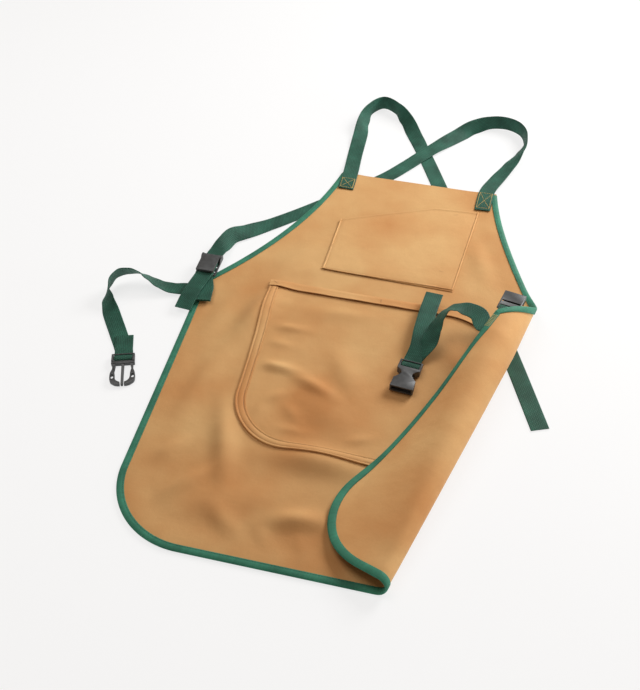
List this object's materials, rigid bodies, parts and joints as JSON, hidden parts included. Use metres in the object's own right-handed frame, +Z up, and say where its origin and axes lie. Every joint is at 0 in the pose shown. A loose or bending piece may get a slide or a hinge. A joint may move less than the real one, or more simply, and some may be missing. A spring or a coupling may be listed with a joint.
{
  "type": "canvas work apron",
  "caption": "Cross-strap canvas work apron lying on its back with one side curled over its front, with bib and skirt pockets, webbing straps, cam buckles and a side-release waist buckle.",
  "frame": {"origin": "middle of the footprint, on the surface that the apron lies on", "axes": "+Z up, +Y from the hem to the bib, +X to the right of someone who looks down at the front with the bib away from them"},
  "size_m": [0.678, 1.0122, 0.0715],
  "materials": {
    "canvas": "waxed canvas, matt",
    "binding": "woven bias tape",
    "webbing": "ribbed webbing",
    "buckle_plastic": "moulded, satin"
  },
  "bodies": {
    "root": {"canvas_panel": "canvas", "bib_pocket": "canvas", "skirt_pocket": "canvas", "skirt_pocket_tape": "canvas", "armhole_binding_left": "binding", "armhole_binding_right": "binding", "skirt_binding": "binding", "shoulder_strap_left": "webbing", "shoulder_strap_right": "webbing", "hip_tab_left": "webbing", "hip_tab_right": "webbing", "waist_strap_left": "webbing", "waist_strap_right": "webbing", "cam_buckle_base_left": "buckle_plastic", "cam_buckle_base_right": "buckle_plastic", "side_buckle_male": "buckle_plastic", "side_buckle_female": "buckle_plastic"},
    "left_lever": {"cam_buckle_lever_left": "buckle_plastic"},
    "right_lever": {"cam_buckle_lever_right": "buckle_plastic"}
  },
  "joints": [
    {"name": "left_lever_hinge", "type": "hinge", "parent": "root", "child": "left_lever", "pos_m": [-0.20297, 0.00932, 0.0172], "axis": [-1, 0, 0], "range_deg": [0, 55]},
    {"name": "right_lever_hinge", "type": "hinge", "parent": "root", "child": "right_lever", "pos_m": [0.26429, -0.0023, 0.03839], "axis": [0.9801, -0.1987, 0], "range_deg": [0, 55]}
  ]
}
